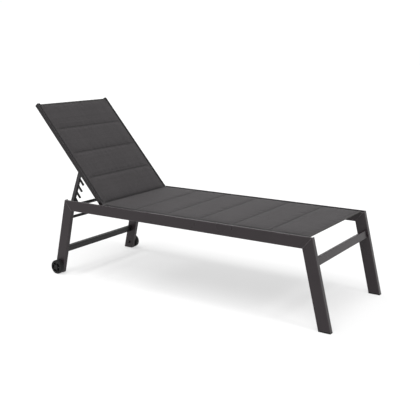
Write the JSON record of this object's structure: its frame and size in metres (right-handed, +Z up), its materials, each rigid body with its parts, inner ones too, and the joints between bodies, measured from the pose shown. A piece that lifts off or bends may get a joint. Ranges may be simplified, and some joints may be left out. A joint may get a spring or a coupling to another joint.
{
  "type": "reclining sun lounger",
  "caption": "Low flat-frame sun lounger with splayed legs, a padded sling seat, a rack-propped reclining backrest and transport wheels at the head end.",
  "frame": {"origin": "centre of the bounding box, on the ground, with the backrest raised as drawn", "axes": "+X along the lounger towards the foot end, +Y to the left of a person lying on it, +Z up"},
  "size_m": [1.7438, 0.6706, 0.9057],
  "materials": {
    "frame": "satin charcoal powder coat",
    "rack": "satin charcoal powder coat",
    "comb": "black moulded, slightly worn in the notches",
    "sling": "woven charcoal outdoor mesh, quilted over foam",
    "keder": "extruded edge cord",
    "plastic": "fine moulded grain",
    "tyre": "soft matt black",
    "hardware": "dull zinc"
  },
  "bodies": {
    "base": {"axle_bolt_left": "hardware", "axle_bolt_right": "hardware", "axle_nuts": "hardware", "axle_washers": "hardware", "foot_cap_left": "plastic", "foot_cap_right": "plastic", "foot_cross_beam": "frame", "foot_leg_left": "frame", "foot_leg_right": "frame", "head_cross_beam": "frame", "head_leg_left": "frame", "head_leg_plug_left": "plastic", "head_leg_plug_right": "plastic", "head_leg_right": "frame", "hinge_bolt_left": "hardware", "hinge_bolt_right": "hardware", "hinge_spacers": "plastic", "rack_support_bar": "frame", "seat_keder_left": "keder", "seat_keder_right": "keder", "seat_sling": "sling", "seat_spreader_foot": "frame", "seat_spreader_head": "frame", "seat_spreader_middle": "frame", "side_rail_left": "frame", "side_rail_right": "frame", "spreader_brackets": "frame", "spreader_screws": "hardware"},
    "backrest": {"back_bar_bottom": "frame", "back_bar_middle": "frame", "back_bar_top": "frame", "back_cap_left": "plastic", "back_cap_right": "plastic", "back_keder_left": "keder", "back_keder_right": "keder", "back_rail_left": "frame", "back_rail_right": "frame", "back_sling": "sling", "back_tail_cap_left": "plastic", "back_tail_cap_right": "plastic", "rack_bracket_left": "frame", "rack_bracket_right": "frame", "rack_pivot_pin_left": "hardware", "rack_pivot_pin_right": "hardware"},
    "rack": {"rack_arm_left": "rack", "rack_arm_right": "rack", "rack_comb_left": "comb", "rack_comb_right": "comb", "rack_link_rod": "rack", "rack_rod_screws": "hardware"},
    "wheel_left": {"wheel_bush_left": "plastic", "wheel_cap_left": "plastic", "wheel_rim_left": "plastic", "wheel_tyre_left": "tyre"},
    "wheel_right": {"wheel_bush_right": "plastic", "wheel_cap_right": "plastic", "wheel_rim_right": "plastic", "wheel_tyre_right": "tyre"}
  },
  "joints": [
    {"name": "recline", "type": "hinge", "parent": "base", "child": "backrest", "pos_m": [-0.42381, 0, 0.397], "axis": [0, 1, 0], "range_deg": [-48.75, 0]},
    {"name": "rack_swing", "type": "hinge", "parent": "backrest", "child": "rack", "pos_m": [-0.59051, 0, 0.56737], "axis": [0, 1, 0], "range_deg": [0, 117.75]},
    {"name": "wheel_left_spin", "type": "hinge", "parent": "base", "child": "wheel_left", "pos_m": [-0.71917, 0.3226, 0.0375], "axis": [0, 1, 0], "continuous": true},
    {"name": "wheel_right_spin", "type": "hinge", "parent": "base", "child": "wheel_right", "pos_m": [-0.71917, -0.3226, 0.0375], "axis": [0, 1, 0], "continuous": true}
  ],
  "couplings": [
    {"joint": "rack_swing", "follows": "recline", "ratio": -2.4154}
  ]
}
